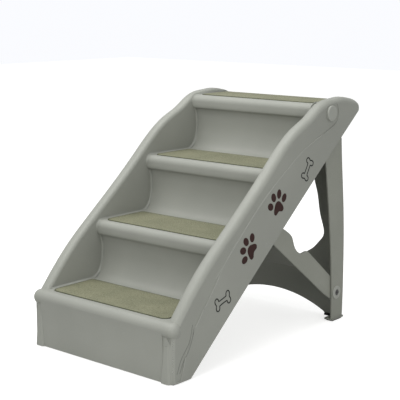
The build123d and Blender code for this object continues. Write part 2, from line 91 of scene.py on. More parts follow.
def tubeFaces(rings, count, start=0):
    # the sides between neighbouring rings of points, and a cap on each end
    faces = []
    for ring in range(rings - 1):
        for index in range(count):
            a, b = start + ring * count + index, start + ring * count + (index + 1) % count
            faces.append((a, b, b + count, a + count))
    faces.append(tuple(range(start, start + count))[::-1])
    faces.append(tuple(range(start + (rings - 1) * count, start + rings * count)))
    return faces


def wayName(side):
    return "right" if side > 0 else "left"


# shader groups shared by several finishes

grainPlan = {"scale": 900.0, "cloudScale": 9.0, "detail": 2.0, "cloudDetail": 3.0, "cellShare": 0.6,
             "fleck": (0.55, 0.75)}
marksPlan = {"patchScale": 14.0, "scratchScale": 60.0, "patchDetail": 4.0, "lineDetail": 1.0,
             "stretch": (1.0, 0.12, 1.6), "turn": (0.6, 0.3, 0.9), "line": 0.5, "lineWidth": (0.0, 0.006),
             "scratched": (0.52, 0.66), "rubbed": (0.5, 0.75)}
dustPlan = {"speckScale": 350.0, "detail": 3.0, "upward": (0.6, 1.0), "speck": (0.45, 0.7)}


def groupTree(name, inputs, outputs):
    tree = bpy.data.node_groups.new(name, "ShaderNodeTree")
    for label, value in inputs:
        socket = tree.interface.new_socket(name=label, in_out="INPUT", socket_type="NodeSocketFloat")
        socket.default_value = value
    for label in outputs:
        tree.interface.new_socket(name=label, in_out="OUTPUT", socket_type="NodeSocketFloat")
    return tree, tree.nodes.new("NodeGroupInput"), tree.nodes.new("NodeGroupOutput")


def setInput(tree, socket, value):
    # a number or a colour goes on the socket, and another node's output is linked to it
    if isinstance(value, (int, float)):
        socket.default_value = value
    elif isinstance(value, tuple):
        socket.default_value = (*value, 1.0)
    else:
        tree.links.new(value, socket)


def mathNode(tree, operation, *values):
    node = tree.nodes.new("ShaderNodeMath")
    node.operation = operation
    for index, value in enumerate(values):
        setInput(tree, node.inputs[index], value)
    return node.outputs[0]


def rampNode(tree, factor, between):
    # 0 below the low place and 1 above the high one
    node = tree.nodes.new("ShaderNodeMapRange")
    node.interpolation_type = "SMOOTHSTEP"
    node.inputs["From Min"].default_value, node.inputs["From Max"].default_value = between
    tree.links.new(factor, node.inputs["Value"])
    return node.outputs["Result"]


def noiseNode(tree, vector, scale, detail):
    node = tree.nodes.new("ShaderNodeTexNoise")
    node.inputs["Detail"].default_value = detail
    tree.links.new(vector, node.inputs["Vector"])
    setInput(tree, node.inputs["Scale"], scale)
    return node.outputs["Fac"]


def mouldGrain(plan):
    # fine spark-eroded grain of a moulded face, with a broad, faint unevenness
    tree, start, end = groupTree("mouldGrain", [("Grain Scale", plan["scale"]), ("Cloud Scale", plan["cloudScale"])],
                                 ["Height", "Cloud", "Fleck"])
    place = tree.nodes.new("ShaderNodeTexCoord").outputs["Object"]
    fine = noiseNode(tree, place, start.outputs["Grain Scale"], plan["detail"])
    cells = tree.nodes.new("ShaderNodeTexVoronoi")
    tree.links.new(place, cells.inputs["Vector"])
    tree.links.new(start.outputs["Grain Scale"], cells.inputs["Scale"])
    height = mathNode(tree, "MULTIPLY_ADD", cells.outputs["Distance"], plan["cellShare"], fine)
    tree.links.new(height, end.inputs["Height"])
    tree.links.new(noiseNode(tree, place, start.outputs["Cloud Scale"], plan["cloudDetail"]), end.inputs["Cloud"])
    tree.links.new(rampNode(tree, fine, plan["fleck"]), end.inputs["Fleck"])
    return tree


def handlingMarks(plan):
    # faint rubbed patches and hair scratches from use
    tree, start, end = groupTree(
        "handlingMarks", [("Patch Scale", plan["patchScale"]), ("Scratch Scale", plan["scratchScale"])],
        ["Rubbed", "Scratch"])
    place = tree.nodes.new("ShaderNodeTexCoord").outputs["Object"]
    patch = noiseNode(tree, place, start.outputs["Patch Scale"], plan["patchDetail"])
    stretch = tree.nodes.new("ShaderNodeMapping")
    stretch.inputs["Scale"].default_value = plan["stretch"]
    stretch.inputs["Rotation"].default_value = plan["turn"]
    tree.links.new(place, stretch.inputs["Vector"])
    lines = noiseNode(tree, stretch.outputs["Vector"], start.outputs["Scratch Scale"], plan["lineDetail"])
    away = mathNode(tree, "ABSOLUTE", mathNode(tree, "SUBTRACT", lines, plan["line"]))
    thin = mathNode(tree, "SUBTRACT", 1.0, rampNode(tree, away, plan["lineWidth"]))
    scratch = mathNode(tree, "MULTIPLY", thin, rampNode(tree, patch, plan["scratched"]))
    tree.links.new(rampNode(tree, patch, plan["rubbed"]), end.inputs["Rubbed"])
    tree.links.new(scratch, end.inputs["Scratch"])
    return tree


def settledDust(plan):
    # a little dust on faces that look up
    tree, start, end = groupTree("settledDust", [("Speck Scale", plan["speckScale"])], ["Dust"])
    place = tree.nodes.new("ShaderNodeTexCoord").outputs["Object"]
    facing = tree.nodes.new("ShaderNodeSeparateXYZ")
    tree.links.new(tree.nodes.new("ShaderNodeNewGeometry").outputs["Normal"], facing.inputs["Vector"])
    speck = noiseNode(tree, place, start.outputs["Speck Scale"], plan["detail"])
    dust = mathNode(tree, "MULTIPLY", rampNode(tree, facing.outputs["Z"], plan["upward"]),
                    rampNode(tree, speck, plan["speck"]))
    tree.links.new(dust, end.inputs["Dust"])
    return tree


grainGroup = mouldGrain(grainPlan)
marksGroup = handlingMarks(marksPlan)
dustGroup = settledDust(dustPlan)


def useGroup(tree, group, **values):
    node = tree.nodes.new("ShaderNodeGroup")
    node.node_tree = group
    for label, value in values.items():
        node.inputs[label.replace("_", " ")].default_value = value
    return node


def blendColour(tree, factor, first, second):
    node = tree.nodes.new("ShaderNodeMix")
    node.data_type = "RGBA"
    tree.links.new(factor, node.inputs["Factor"])
    for slot, value in (("A", first), ("B", second)):
        setInput(tree, [s for s in node.inputs if s.name == slot and s.type == "RGBA"][0], value)
    return [s for s in node.outputs if s.type == "RGBA"][0]


def newMaterial(name):
    material = bpy.data.materials.new(name)
    material.use_nodes = True
    return material, material.node_tree, material.node_tree.nodes["Principled BSDF"]


def bumpNode(tree, height, finish):
    node = tree.nodes.new("ShaderNodeBump")
    node.inputs["Strength"].default_value = finish["bump"]
    node.inputs["Distance"].default_value = finish["bumpDepth"]
    tree.links.new(height, node.inputs["Height"])
    tree.links.new(node.outputs["Normal"], tree.nodes["Principled BSDF"].inputs["Normal"])
    return node


def mouldedPlastic(name, finish):
    material, tree, shader = newMaterial(name)
    grain = useGroup(tree, grainGroup, Grain_Scale=finish["grainScale"], Cloud_Scale=finish["cloudScale"])
    marks = useGroup(tree, marksGroup, Patch_Scale=finish["patchScale"])
    dust = useGroup(tree, dustGroup)
    base = blendColour(tree, rampNode(tree, grain.outputs["Cloud"], finish["cloud"]), finish["dark"], finish["light"])
    fleck = mathNode(tree, "MULTIPLY", grain.outputs["Fleck"], finish["fleckShare"])
    base = blendColour(tree, fleck, base, finish["fleck"])
    rubbed = mathNode(tree, "MULTIPLY", marks.outputs["Scratch"], finish["scratchShare"])
    base = blendColour(tree, rubbed, base, finish["rubbed"])
    dusty = mathNode(tree, "MULTIPLY", dust.outputs["Dust"], finish["dustShare"])
    base = blendColour(tree, dusty, base, finish["dust"])
    tree.links.new(base, shader.inputs["Base Color"])
    gloss = mathNode(tree, "MULTIPLY_ADD", marks.outputs["Rubbed"], finish["rubbedGloss"], finish["roughness"])
    tree.links.new(gloss, shader.inputs["Roughness"])
    shader.inputs["Specular IOR Level"].default_value = finish["specular"]
    bump = bumpNode(tree, grain.outputs["Height"], finish)
    if finish["edgeRadius"]:
        soft = tree.nodes.new("ShaderNodeBevel")
        soft.samples = finish["edgeSamples"]
        soft.inputs["Radius"].default_value = finish["edgeRadius"]
        tree.links.new(soft.outputs["Normal"], bump.inputs["Normal"])
    return material


stairFinish = {
    "dark": (0.222, 0.228, 0.200), "light": (0.240, 0.246, 0.216), "fleck": (0.28, 0.287, 0.255), "fleckShare": 0.35,
    "rubbed": (0.31, 0.315, 0.285), "scratchShare": 0.25, "dust": (0.36, 0.355, 0.325), "dustShare": 0.12,
    "grainScale": 1100.0, "cloudScale": 7.0, "cloud": (0.3, 0.7), "patchScale": 12.0, "roughness": 0.56,
    "rubbedGloss": -0.06, "specular": 0.42, "bump": 0.22, "bumpDepth": 0.0006, "edgeRadius": 0.0007,
    "edgeSamples": 4,
}
# the legs take the stair plastic painted a little darker, as painted shade for the legs standing under the stairs, and
# a wider soft edge
legShadedFinish = dict(stairFinish, dark=(0.205, 0.211, 0.178), light=(0.222, 0.228, 0.193), fleck=(0.26, 0.266, 0.23),
                 cloudScale=6.0, edgeRadius=0.0045)
pivotFinish = dict(stairFinish, dark=(0.262, 0.269, 0.238), light=(0.28, 0.287, 0.254), grainScale=1500.0,
                   roughness=0.44, bump=0.1, edgeRadius=0.0006)
washerFinish = dict(stairFinish, dark=(0.03, 0.03, 0.028), light=(0.04, 0.04, 0.037), fleck=(0.07, 0.07, 0.065),
                    rubbed=(0.09, 0.09, 0.085), dust=(0.16, 0.16, 0.15), grainScale=1500.0, roughness=0.5,
                    bump=0.12, edgeRadius=0.0004)
rubberFinish = dict(stairFinish, dark=(0.012, 0.012, 0.011), light=(0.02, 0.02, 0.018), fleck=(0.05, 0.05, 0.046),
                    rubbed=(0.06, 0.06, 0.055), dust=(0.14, 0.14, 0.13), dustShare=0.3, grainScale=1300.0,
                    roughness=0.72, specular=0.3, bump=0.25, edgeRadius=0.0)
printFinish = dict(stairFinish, dark=(0.026, 0.0095, 0.0078), light=(0.034, 0.0125, 0.0102),
                   fleck=(0.05, 0.022, 0.018), fleckShare=0.25, rubbed=(0.10, 0.07, 0.055), dust=(0.08, 0.06, 0.05),
                   dustShare=0.05, grainScale=1300.0, roughness=0.66, specular=0.2, bump=0.12, edgeRadius=0.0)
outlineFinish = dict(printFinish, dark=(0.010, 0.010, 0.009), light=(0.016, 0.016, 0.014), fleck=(0.035, 0.035, 0.031))

stairPlastic = mouldedPlastic("stairPlastic", stairFinish)
legPaintedShadePlastic = mouldedPlastic("legPaintedShadePlastic", legShadedFinish)
pivotPlastic = mouldedPlastic("pivotPlastic", pivotFinish)
washerPlastic = mouldedPlastic("washerPlastic", washerFinish)
footRubber = mouldedPlastic("footRubber", rubberFinish)
pawPrintInk = mouldedPlastic("pawPrintInk", printFinish)
boneOutlineInk = mouldedPlastic("boneOutlineInk", outlineFinish)


matFinish = {
    "base": (0.155, 0.155, 0.093), "shade": (0.123, 0.126, 0.073), "pale": (0.25, 0.242, 0.171),
    "dark": (0.062, 0.066, 0.038), "grainScale": 700.0, "cloudScale": 16.0, "cloud": (0.3, 0.7), "patchScale": 22.0,
    "paleScale": 420.0, "paleDetail": 2.0, "paleSpeck": (0.56, 0.66), "darkScale": 300.0, "darkDetail": 1.0,
    "darkSpeck": (0.60, 0.70), "speckShare": 0.7, "roughness": 0.78, "rubbedGloss": -0.08, "bump": 0.5,
    "bumpDepth": 0.0007,
}


def matRubber(name, finish):
    material, tree, shader = newMaterial(name)
    place = tree.nodes.new("ShaderNodeTexCoord").outputs["Object"]
    grain = useGroup(tree, grainGroup, Grain_Scale=finish["grainScale"], Cloud_Scale=finish["cloudScale"])
    marks = useGroup(tree, marksGroup, Patch_Scale=finish["patchScale"])
    pale = noiseNode(tree, place, finish["paleScale"], finish["paleDetail"])
    deep = noiseNode(tree, place, finish["darkScale"], finish["darkDetail"])
    base = blendColour(tree, rampNode(tree, grain.outputs["Cloud"], finish["cloud"]), finish["shade"], finish["base"])
    for noise, speck, colour in ((pale, "paleSpeck", "pale"), (deep, "darkSpeck", "dark")):
        share = mathNode(tree, "MULTIPLY", rampNode(tree, noise, finish[speck]), finish["speckShare"])
        base = blendColour(tree, share, base, finish[colour])
    tree.links.new(base, shader.inputs["Base Color"])
    gloss = mathNode(tree, "MULTIPLY_ADD", marks.outputs["Rubbed"], finish["rubbedGloss"], finish["roughness"])
    tree.links.new(gloss, shader.inputs["Roughness"])
    bumpNode(tree, mathNode(tree, "ADD", grain.outputs["Height"], pale), finish)
    return material


treadRubber = matRubber("treadRubber", matFinish)
# near-black rim finish for the mats: painted shade for the shadow gap between each mat and its pocket
matEdgePaintedShadeFinish = dict(matFinish, base=(0.05, 0.055, 0.026), shade=(0.035, 0.04, 0.018), pale=(0.09, 0.09, 0.05))
treadEdgePaintedShade = matRubber("treadEdgePaintedShade", matEdgePaintedShadeFinish)


steelFinish = {"dark": (0.10, 0.10, 0.098), "light": (0.17, 0.17, 0.165), "grainScale": 900.0, "cloudScale": 60.0,
               "roughness": 0.38, "fleckGloss": 0.2, "bump": 0.15, "bumpDepth": 0.0003}


def dullSteel(name, finish):
    material, tree, shader = newMaterial(name)
    grain = useGroup(tree, grainGroup, Grain_Scale=finish["grainScale"], Cloud_Scale=finish["cloudScale"])
    base = blendColour(tree, grain.outputs["Cloud"], finish["dark"], finish["light"])
    tree.links.new(base, shader.inputs["Base Color"])
    shader.inputs["Metallic"].default_value = 1.0
    gloss = mathNode(tree, "MULTIPLY_ADD", grain.outputs["Fleck"], finish["fleckGloss"], finish["roughness"])
    tree.links.new(gloss, shader.inputs["Roughness"])
    bumpNode(tree, grain.outputs["Height"], finish)
    return material


screwSteel = dullSteel("screwSteel", steelFinish)

finishes = {
    "side_rail": stairPlastic, "step_": stairPlastic, "leg_frame": legPaintedShadePlastic, "brace_panel": legPaintedShadePlastic,
    "upper_pivot_cap": pivotPlastic, "lower_pivot_bush": pivotPlastic, "upper_pivot_washer": washerPlastic,
    "lower_pivot_nut": washerPlastic, "upper_pivot_screw": screwSteel, "lower_pivot_screw": screwSteel,
}
for nodeName, node in nodes.items():
    for start, material in finishes.items():
        if nodeName.startswith(start):
            dress(node, material)
print("finishes made and put on the carried-over pieces")


# tread mats

matPlan = {
    "frontCorner": 16.0, "backCorner": 7.0, "cornerSteps": 10, "sunk": 1.0,
    "rim": [(0.0, -1.0), (0.0, 0.55), (0.18, 1.0), (0.55, 1.3), (1.1, 1.42), (1.9, 1.38), (2.3, 1.2), (2.7, 1.2),
            (3.1, 1.45), (3.8, 1.5)],
    "paintedShadeRings": 7,
}


def roundedOutline(halfWidth, front, back, frontCorner, backCorner, steps):
    corners = [(halfWidth - frontCorner, front + frontCorner, frontCorner, -90),
               (halfWidth - backCorner, back - backCorner, backCorner, 0),
               (-halfWidth + backCorner, back - backCorner, backCorner, 90),
               (-halfWidth + frontCorner, front + frontCorner, frontCorner, 180)]
    points = []
    for cx, cy, radius, start in corners:
        for index in range(steps + 1):
            angle = math.radians(start + 90 * index / steps)
            points.append((cx + radius * math.cos(angle), cy + radius * math.sin(angle)))
    return points


def nodeBox(name):
    # a node's lowest and highest corners, in millimetres from the centre, the front panel and the floor
    return [(corner[0] * 1000, (corner[1] + midDepth) * 1000, corner[2] * 1000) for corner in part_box(name)]


def treadMat(step, plan):
    nodeName = "tread_mat_" + str(step + 1)
    low, high = nodeBox(nodeName)
    level = low[2] + plan["sunk"]
    verts = []
    for inset, lift in plan["rim"]:
        outline = roundedOutline(high[0] - inset, low[1] + inset, high[1] - inset, plan["frontCorner"] - inset,
                                 plan["backCorner"] - inset, plan["cornerSteps"])
        verts += [sidePoint(x, y, level + lift) for x, y in outline]
    count = len(verts) // len(plan["rim"])
    mat = newObject("tread_mat_piece_" + str(step + 1), verts, tubeFaces(len(plan["rim"]), count))
    dress(mat, treadRubber, treadEdgePaintedShade)
    # the outer rings of the rim take the near-black second finish, painted shade of the gap round the mat
    for index, poly in enumerate(mat.data.polygons):
        if index < plan["paintedShadeRings"] * count:
            poly.material_index = 1
    mat.data.polygons[-1].use_smooth = False
    mat.data.polygons[-2].use_smooth = False
    return placeOn(mat, "stairs", "mat", nodeName)


for step in range(stepCount):
    treadMat(step, matPlan)
print("four tread mats laid in their pockets")


# coves where the treads and risers run into the rails

covePlan = {
    "run": 158.3, "rise": 125.7, "firstTread": 120.0, "noseRadius": 14.0, "rollRadius": 16.0, "noseLead": 1.5,
    "rollOverhang": 4.5, "noseSteps": 12, "riserSteps": 26,
    "wall": nodeBox("step_1")[1][0], "radius": 3.6, "sink": 0.12, "arcSteps": 6,
    "riserShares": [(-0.14, 0.0), (0.05, 0.125), (0.115, 0.33), (0.12, 0.56), (0.065, 0.76)],
    "backEdge": 602.0, "start": 26.0,
}


def throughPoints(points, startWay, endWay, count):
    # a smooth line through the points that leaves and arrives along the two ways
    pts = np.array(points, float)
    t = np.concatenate([[0.0], np.cumsum(np.linalg.norm(np.diff(pts, axis=0), axis=1))])
    size = len(pts)
    system = np.zeros((size, size))
    right = np.zeros((size, 2))
    system[0, 0] = system[-1, -1] = 1.0
    right[0], right[-1] = startWay, endWay
    for i in range(1, size - 1):
        before, after = t[i] - t[i - 1], t[i + 1] - t[i]
        system[i, i - 1], system[i, i], system[i, i + 1] = after, 2 * (before + after), before
        right[i] = 3 * (after * (pts[i] - pts[i - 1]) / before + before * (pts[i + 1] - pts[i]) / after)
    slopes = np.linalg.solve(system, right)
    line = []
    for value in np.linspace(0.0, t[-1], count):
        i = min(int(np.searchsorted(t, value, side="right")) - 1, size - 2)
        h = t[i + 1] - t[i]
        s = (value - t[i]) / h
        line.append(tuple(pts[i] * (2 * s**3 - 3 * s**2 + 1) + slopes[i] * h * (s**3 - 2 * s**2 + s)
                          + pts[i + 1] * (3 * s**2 - 2 * s**3) + slopes[i + 1] * h * (s**3 - s**2)))
    return line


def stairLine(plan):
    line = []
    for step in range(stepCount):
        level = plan["firstTread"] + plan["rise"] * step
        radius = plan["noseRadius"] if step else plan["rollRadius"]
        front = plan["run"] * step + plan["noseLead"] if step else -plan["rollOverhang"]
        for index in range(plan["noseSteps"] + 1):
            angle = math.radians(180 - 90 * index / plan["noseSteps"])
            line.append((front + radius + radius * math.cos(angle), level - radius + radius * math.sin(angle)))
        if step == stepCount - 1:
            line.append((plan["backEdge"], level))
            break
        lead = plan["run"] * (step + 1) + plan["noseLead"]
        points = [(lead + a * plan["rise"], level + b * plan["rise"]) for a, b in plan["riserShares"]]
        points.append((lead, level + plan["rise"] - plan["noseRadius"]))
        line += throughPoints(points, (1.0, 0.0), (0.0, 1.0), plan["riserSteps"])[:-1]
    return line


def railCove(side, plan, line):
    verts = []
    steps, radius = plan["arcSteps"], plan["radius"]
    for index, point in enumerate(line):
        before, after = line[max(index - 1, 0)], line[min(index + 1, len(line) - 1)]
        along = Vector((after[0] - before[0], after[1] - before[1])).normalized()
        out = Vector((-along.y, along.x))
        for turn in range(steps + 1):
            angle = math.radians(90 * turn / steps)
            inwards = radius - radius * math.cos(angle)
            lift = radius - radius * math.sin(angle)
            x = plan["wall"] - inwards + (plan["sink"] if turn == 0 else 0)
            lift -= plan["sink"] if turn == steps else 0
            verts.append(sidePoint(side * x, point[0] + out.x * lift, point[1] + out.y * lift))
        verts.append(sidePoint(side * (plan["wall"] + plan["sink"]), point[0] - out.x * plan["sink"],
                               point[1] - out.y * plan["sink"]))
    cove = newObject("rail_cove_" + wayName(side), verts, tubeFaces(len(line), steps + 2))
    faceOutwards(cove)
    dress(cove, stairPlastic)
    return placeOn(cove, "stairs", "stair_plastic")


treadLine = stairLine(covePlan)
for side in (-1, 1):
    railCove(side, covePlan, [(covePlan["start"], covePlan["firstTread"])] + treadLine[covePlan["noseSteps"] + 1:])
print("coves run down both rails")


# soft blend from the rolled front edge down to the front panel

blendPlan = {"centre": (11.5, 104.0), "radius": 16.0, "start": 101.5, "end": 45.0, "sunk": 0.04, "steps": 48,
             "inside": 2.5, "reach": 100.0, "half": 170.0}


def faceOf(name, x, height, reach):
    # the depth of the node's front face at this height
    found, place, _, _ = nodes[name].ray_cast(Vector(sidePoint(x, -reach, height)), Vector((0, 1, 0)))
    return (place.y + midDepth) * 1000 if found else 0.0


def rollBlend(plan):
    depth, height = plan["centre"]
    rise = height - plan["start"]
    lead = math.sqrt(plan["radius"] ** 2 - rise ** 2)
    begin = (depth - lead + plan["sunk"], plan["start"])
    finish = (faceOf("step_1", 0.0, plan["end"], plan["reach"]) + plan["sunk"], plan["end"])
    line = throughPoints([begin, finish], (rise / plan["radius"], -lead / plan["radius"]), (0.0, -1.0), plan["steps"])
    line += [(finish[0] + plan["inside"], plan["end"]), (finish[0] + plan["inside"], plan["start"])]
    verts = [sidePoint(x, y, z) for x in (-plan["half"], plan["half"]) for y, z in line]
    blend = newObject("roll_blend", verts, tubeFaces(2, len(line)), smooth=False)
    faceOutwards(blend)
    dress(blend, stairPlastic)
    return placeOn(blend, "stairs", "stair_plastic")


rollBlend(blendPlan)
print("roll blended into the panel")


# printed paws and bones on the rails

printPlan = {
    "face": 196.0, "thickness": 0.16, "sink": 0.05, "points": 28,
    "paws": [{"name": "paw_low", "centre": (236.0, 221.5), "turn": 61.0},
             {"name": "paw_high", "centre": (325.0, 297.5), "turn": 16.0}],
    "toes": [(66.0, 26.5, 9.6, 7.6, 8.0), (21.0, 27.0, 10.0, 7.6, 4.0), (-21.0, 27.0, 10.0, 7.4, -4.0),
             (-66.0, 26.0, 9.6, 7.6, -8.0)],
    "pad": [(0.0, 12.5), (7.0, 10.0), (12.0, 3.5), (16.0, -4.0), (16.2, -10.5), (11.0, -14.2), (5.0, -12.0),
            (0.0, -10.2), (-5.0, -12.0), (-11.0, -14.2), (-16.2, -10.5), (-16.0, -4.0), (-12.0, 3.5), (-7.0, 10.0)],
    "bones": [{"name": "bone_low", "centre": (146.5, 136.0), "turn": 17.0},
              {"name": "bone_high", "centre": (427.0, 364.0), "turn": 59.6}],
    "boneHalf": [(0.0, 3.4), (10.0, 3.6), (13.2, 5.2), (13.6, 9.0), (16.6, 12.2), (20.8, 10.6), (21.6, 6.4),
                 (20.4, 3.0), (19.4, 0.0)],
    "boneLine": 2.6, "toeTurnShare": 0.62, "loopSteps": 4,
}


def smoothLoop(points, steps):
    # closed smooth line through the points
    size = len(points)
    line = []
    for i in range(size):
        p0, p1, p2, p3 = (Vector(points[(i + k) % size]) for k in (-1, 0, 1, 2))
        for k in range(steps):
            s = k / steps
            line.append(0.5 * (2 * p1 + (p2 - p0) * s + (2 * p0 - 5 * p1 + 4 * p2 - p3) * s**2
                               + (3 * p1 - p0 - 3 * p2 + p3) * s**3))
    return line


def turnPoint(point, centre, degrees):
    x, y = point
    cos, sin = math.cos(math.radians(degrees)), math.sin(math.radians(degrees))
    return centre[0] + x * cos - y * sin, centre[1] + x * sin + y * cos


def inkPatch(outlines, side, plan):
    # a thin printed patch on the rail's outer face for each closed outline
    verts, faces = [], []
    for outline in outlines:
        faces += tubeFaces(2, len(outline), len(verts))
        for x in (plan["face"] - plan["sink"], plan["face"] + plan["thickness"]):
            verts += [sidePoint(side * x, y, z) for y, z in outline]
    return verts, faces


def pawPrint(paw, side, plan):
    outlines = []
    for way, reach, long, short, lean in plan["toes"]:
        centre = turnPoint((0, reach), (0, 0), way)
        toe = []
        for index in range(plan["points"]):
            angle = 2 * math.pi * index / plan["points"]
            toe.append(turnPoint((short * math.cos(angle), long * math.sin(angle)), centre,
                                 way * plan["toeTurnShare"] + lean))
        outlines.append([turnPoint(p, paw["centre"], paw["turn"]) for p in toe])
    outlines.append([turnPoint(p, paw["centre"], paw["turn"]) for p in smoothLoop(plan["pad"], plan["loopSteps"])])
    verts, faces = inkPatch(outlines, side, plan)
    obj = newObject(paw["name"] + "_" + wayName(side), verts, faces, smooth=False)
    faceOutwards(obj)
    dress(obj, pawPrintInk)
    return placeOn(obj, "stairs", "stair_plastic")


def boneOutline(bone, side, plan):
    half = plan["boneHalf"]
    upper = half + [(x, -y) for x, y in half[::-1][1:]]
    loop = upper + [(-x, -y) for x, y in upper[1:-1]]
    outer = smoothLoop(loop, plan["loopSteps"])
    count = len(outer)
    inner = []
    for index, point in enumerate(outer):
        along = (outer[(index + 1) % count] - outer[index - 1]).normalized()
        inner.append(point + Vector((along.y, -along.x)) * -plan["boneLine"] * (-1 if orientation(outer) > 0 else 1))
    verts, faces = [], []
    for x in (plan["face"] - plan["sink"], plan["face"] + plan["thickness"]):
        for ring in (outer, inner):
            for point in ring:
                y, z = turnPoint(point, bone["centre"], bone["turn"])
                verts.append(sidePoint(side * x, y, z))
    for index in range(count):
        after = (index + 1) % count
        o0, i0, o1, i1 = 0, count, 2 * count, 3 * count
        faces.append((o1 + index, o1 + after, i1 + after, i1 + index))
        faces.append((o0 + index, i0 + index, i0 + after, o0 + after))
        faces.append((o0 + index, o0 + after, o1 + after, o1 + index))
        faces.append((i0 + after, i0 + index, i1 + index, i1 + after))
    obj = newObject(bone["name"] + "_" + wayName(side), verts, faces, smooth=False)
    faceOutwards(obj)
    dress(obj, boneOutlineInk)
    return placeOn(obj, "stairs", "stair_plastic")


def orientation(loop):
    return sum(a.x * b.y - b.x * a.y for a, b in zip(loop, loop[1:] + loop[:1]))


for side in (-1, 1):
    for paw in printPlan["paws"]:
        pawPrint(paw, side, printPlan)
    for bone in printPlan["bones"]:
        boneOutline(bone, side, printPlan)
print("paws and bones printed on both rails")


# raised lines on the rails and ribbed foot pads, both grown by geometry nodes

reliefPlan = {
    "radius": 1.0, "proud": 0.5, "sides": 8, "steps": 60, "reach": 300.0,
    "long": [[(23.1, 6.1), (40.0, 57.9), (61.0, 95.0), (97.0, 139.8), (136.0, 187.9), (166.0, 224.0), (221.0, 273.0),
              (271.0, 316.0), (348.0, 367.0), (402.0, 400.0), (457.0, 423.0), (486.0, 434.0)],
             [(125.0, 185.0), (160.0, 217.0), (200.0, 253.0), (240.0, 288.0), (280.0, 320.0), (310.0, 343.0)]],
    "front": [[(12.0, 20.0), (25.0, 48.0), (48.0, 76.0), (57.0, 108.0)],
              [(20.0, 20.0), (30.0, 40.0), (46.0, 62.0), (62.0, 100.0)]],
}
# the long raised lines are a lighter copy of the stair plastic: a painted highlight along the ridge
longLineHighlightPlastic = mouldedPlastic("longLineHighlightPlastic", dict(stairFinish, dark=(0.262, 0.268, 0.238),
                                                         light=(0.282, 0.288, 0.256)))
# the short front lines are a much darker copy of the stair plastic: painted shade of the creases
frontLineShadePlastic = mouldedPlastic("frontLineShadePlastic", dict(stairFinish, dark=(0.115, 0.118, 0.103),
                                                           light=(0.13, 0.133, 0.117)))


def shapeTree(name, inputs):
    tree = bpy.data.node_groups.new(name, "GeometryNodeTree")
    for label, kind in inputs:
        tree.interface.new_socket(name=label, in_out="INPUT", socket_type=kind)
    tree.interface.new_socket(name="Geometry", in_out="OUTPUT", socket_type="NodeSocketGeometry")
    return tree, tree.nodes.new("NodeGroupInput"), tree.nodes.new("NodeGroupOutput")


def finishTree(tree, start, end, result):
    # real geometry with its finish, because instances are lost in the exported model
    realize = tree.nodes.new("GeometryNodeRealizeInstances")
    paint = tree.nodes.new("GeometryNodeSetMaterial")
    tree.links.new(result, realize.inputs["Geometry"])
    tree.links.new(realize.outputs["Geometry"], paint.inputs["Geometry"])
    tree.links.new(start.outputs["Finish"], paint.inputs["Material"])
    tree.links.new(paint.outputs["Geometry"], end.inputs["Geometry"])
    return tree


def beadAlongPath():
    tree, start, end = shapeTree("beadAlongPath", [
        ("Geometry", "NodeSocketGeometry"), ("Radius", "NodeSocketFloat"), ("Sides", "NodeSocketInt"),
        ("Finish", "NodeSocketMaterial")])
    path = tree.nodes.new("GeometryNodeMeshToCurve")
    ring = tree.nodes.new("GeometryNodeCurvePrimitiveCircle")
    sweep = tree.nodes.new("GeometryNodeCurveToMesh")
    sweep.inputs["Fill Caps"].default_value = True
    tree.links.new(start.outputs["Geometry"], path.inputs["Mesh"])
    tree.links.new(start.outputs["Sides"], ring.inputs["Resolution"])
    tree.links.new(start.outputs["Radius"], ring.inputs["Radius"])
    tree.links.new(path.outputs["Curve"], sweep.inputs["Curve"])
    tree.links.new(ring.outputs["Curve"], sweep.inputs["Profile Curve"])
    return finishTree(tree, start, end, sweep.outputs["Mesh"])


def ribbedSole():
    # evenly spaced ribs in a row, joined to the pad that carries the modifier
    tree, start, end = shapeTree("ribbedSole", [
        ("Geometry", "NodeSocketGeometry"), ("Count", "NodeSocketInt"), ("First", "NodeSocketVector"),
        ("Pitch", "NodeSocketVector"), ("Rib Size", "NodeSocketVector"), ("Finish", "NodeSocketMaterial")])
    row = tree.nodes.new("GeometryNodeMeshLine")
    rib = tree.nodes.new("GeometryNodeMeshCube")
    copies = tree.nodes.new("GeometryNodeInstanceOnPoints")
    join = tree.nodes.new("GeometryNodeJoinGeometry")
    tree.links.new(start.outputs["Count"], row.inputs["Count"])
    tree.links.new(start.outputs["First"], row.inputs["Start Location"])
    tree.links.new(start.outputs["Pitch"], row.inputs["Offset"])
    tree.links.new(start.outputs["Rib Size"], rib.inputs["Size"])
    tree.links.new(row.outputs["Mesh"], copies.inputs["Points"])
    tree.links.new(rib.outputs["Mesh"], copies.inputs["Instance"])
    tree.links.new(copies.outputs["Instances"], join.inputs["Geometry"])
    tree.links.new(start.outputs["Geometry"], join.inputs["Geometry"])
    return finishTree(tree, start, end, join.outputs["Geometry"])


def growShape(obj, tree, **values):
    # runs the tree on the object and keeps its result as a plain mesh
    modifier = obj.modifiers.new(tree.name, "NODES")
    modifier.node_group = tree
    for socket in tree.interface.items_tree:
        label = socket.name.replace(" ", "_")
        if socket.in_out == "INPUT" and label in values:
            modifier[socket.identifier] = values[label]
    grown = bpy.data.meshes.new_from_object(obj.evaluated_get(bpy.context.evaluated_depsgraph_get()))
    obj.modifiers.clear()
    obj.data = grown
    return obj


def onRail(side, depth, height, plan):
    # the point of the rail's outer face at this depth and height, with the bead's axis just below it
    rail = nodes["side_rail_" + wayName(side)]
    start = Vector(sidePoint(side * plan["reach"], depth, height))
    found, place, _, _ = rail.ray_cast(start, Vector((-side, 0, 0)))
    return (place.x - side * (plan["radius"] - plan["proud"]) / 1000, place.y, place.z) if found else None


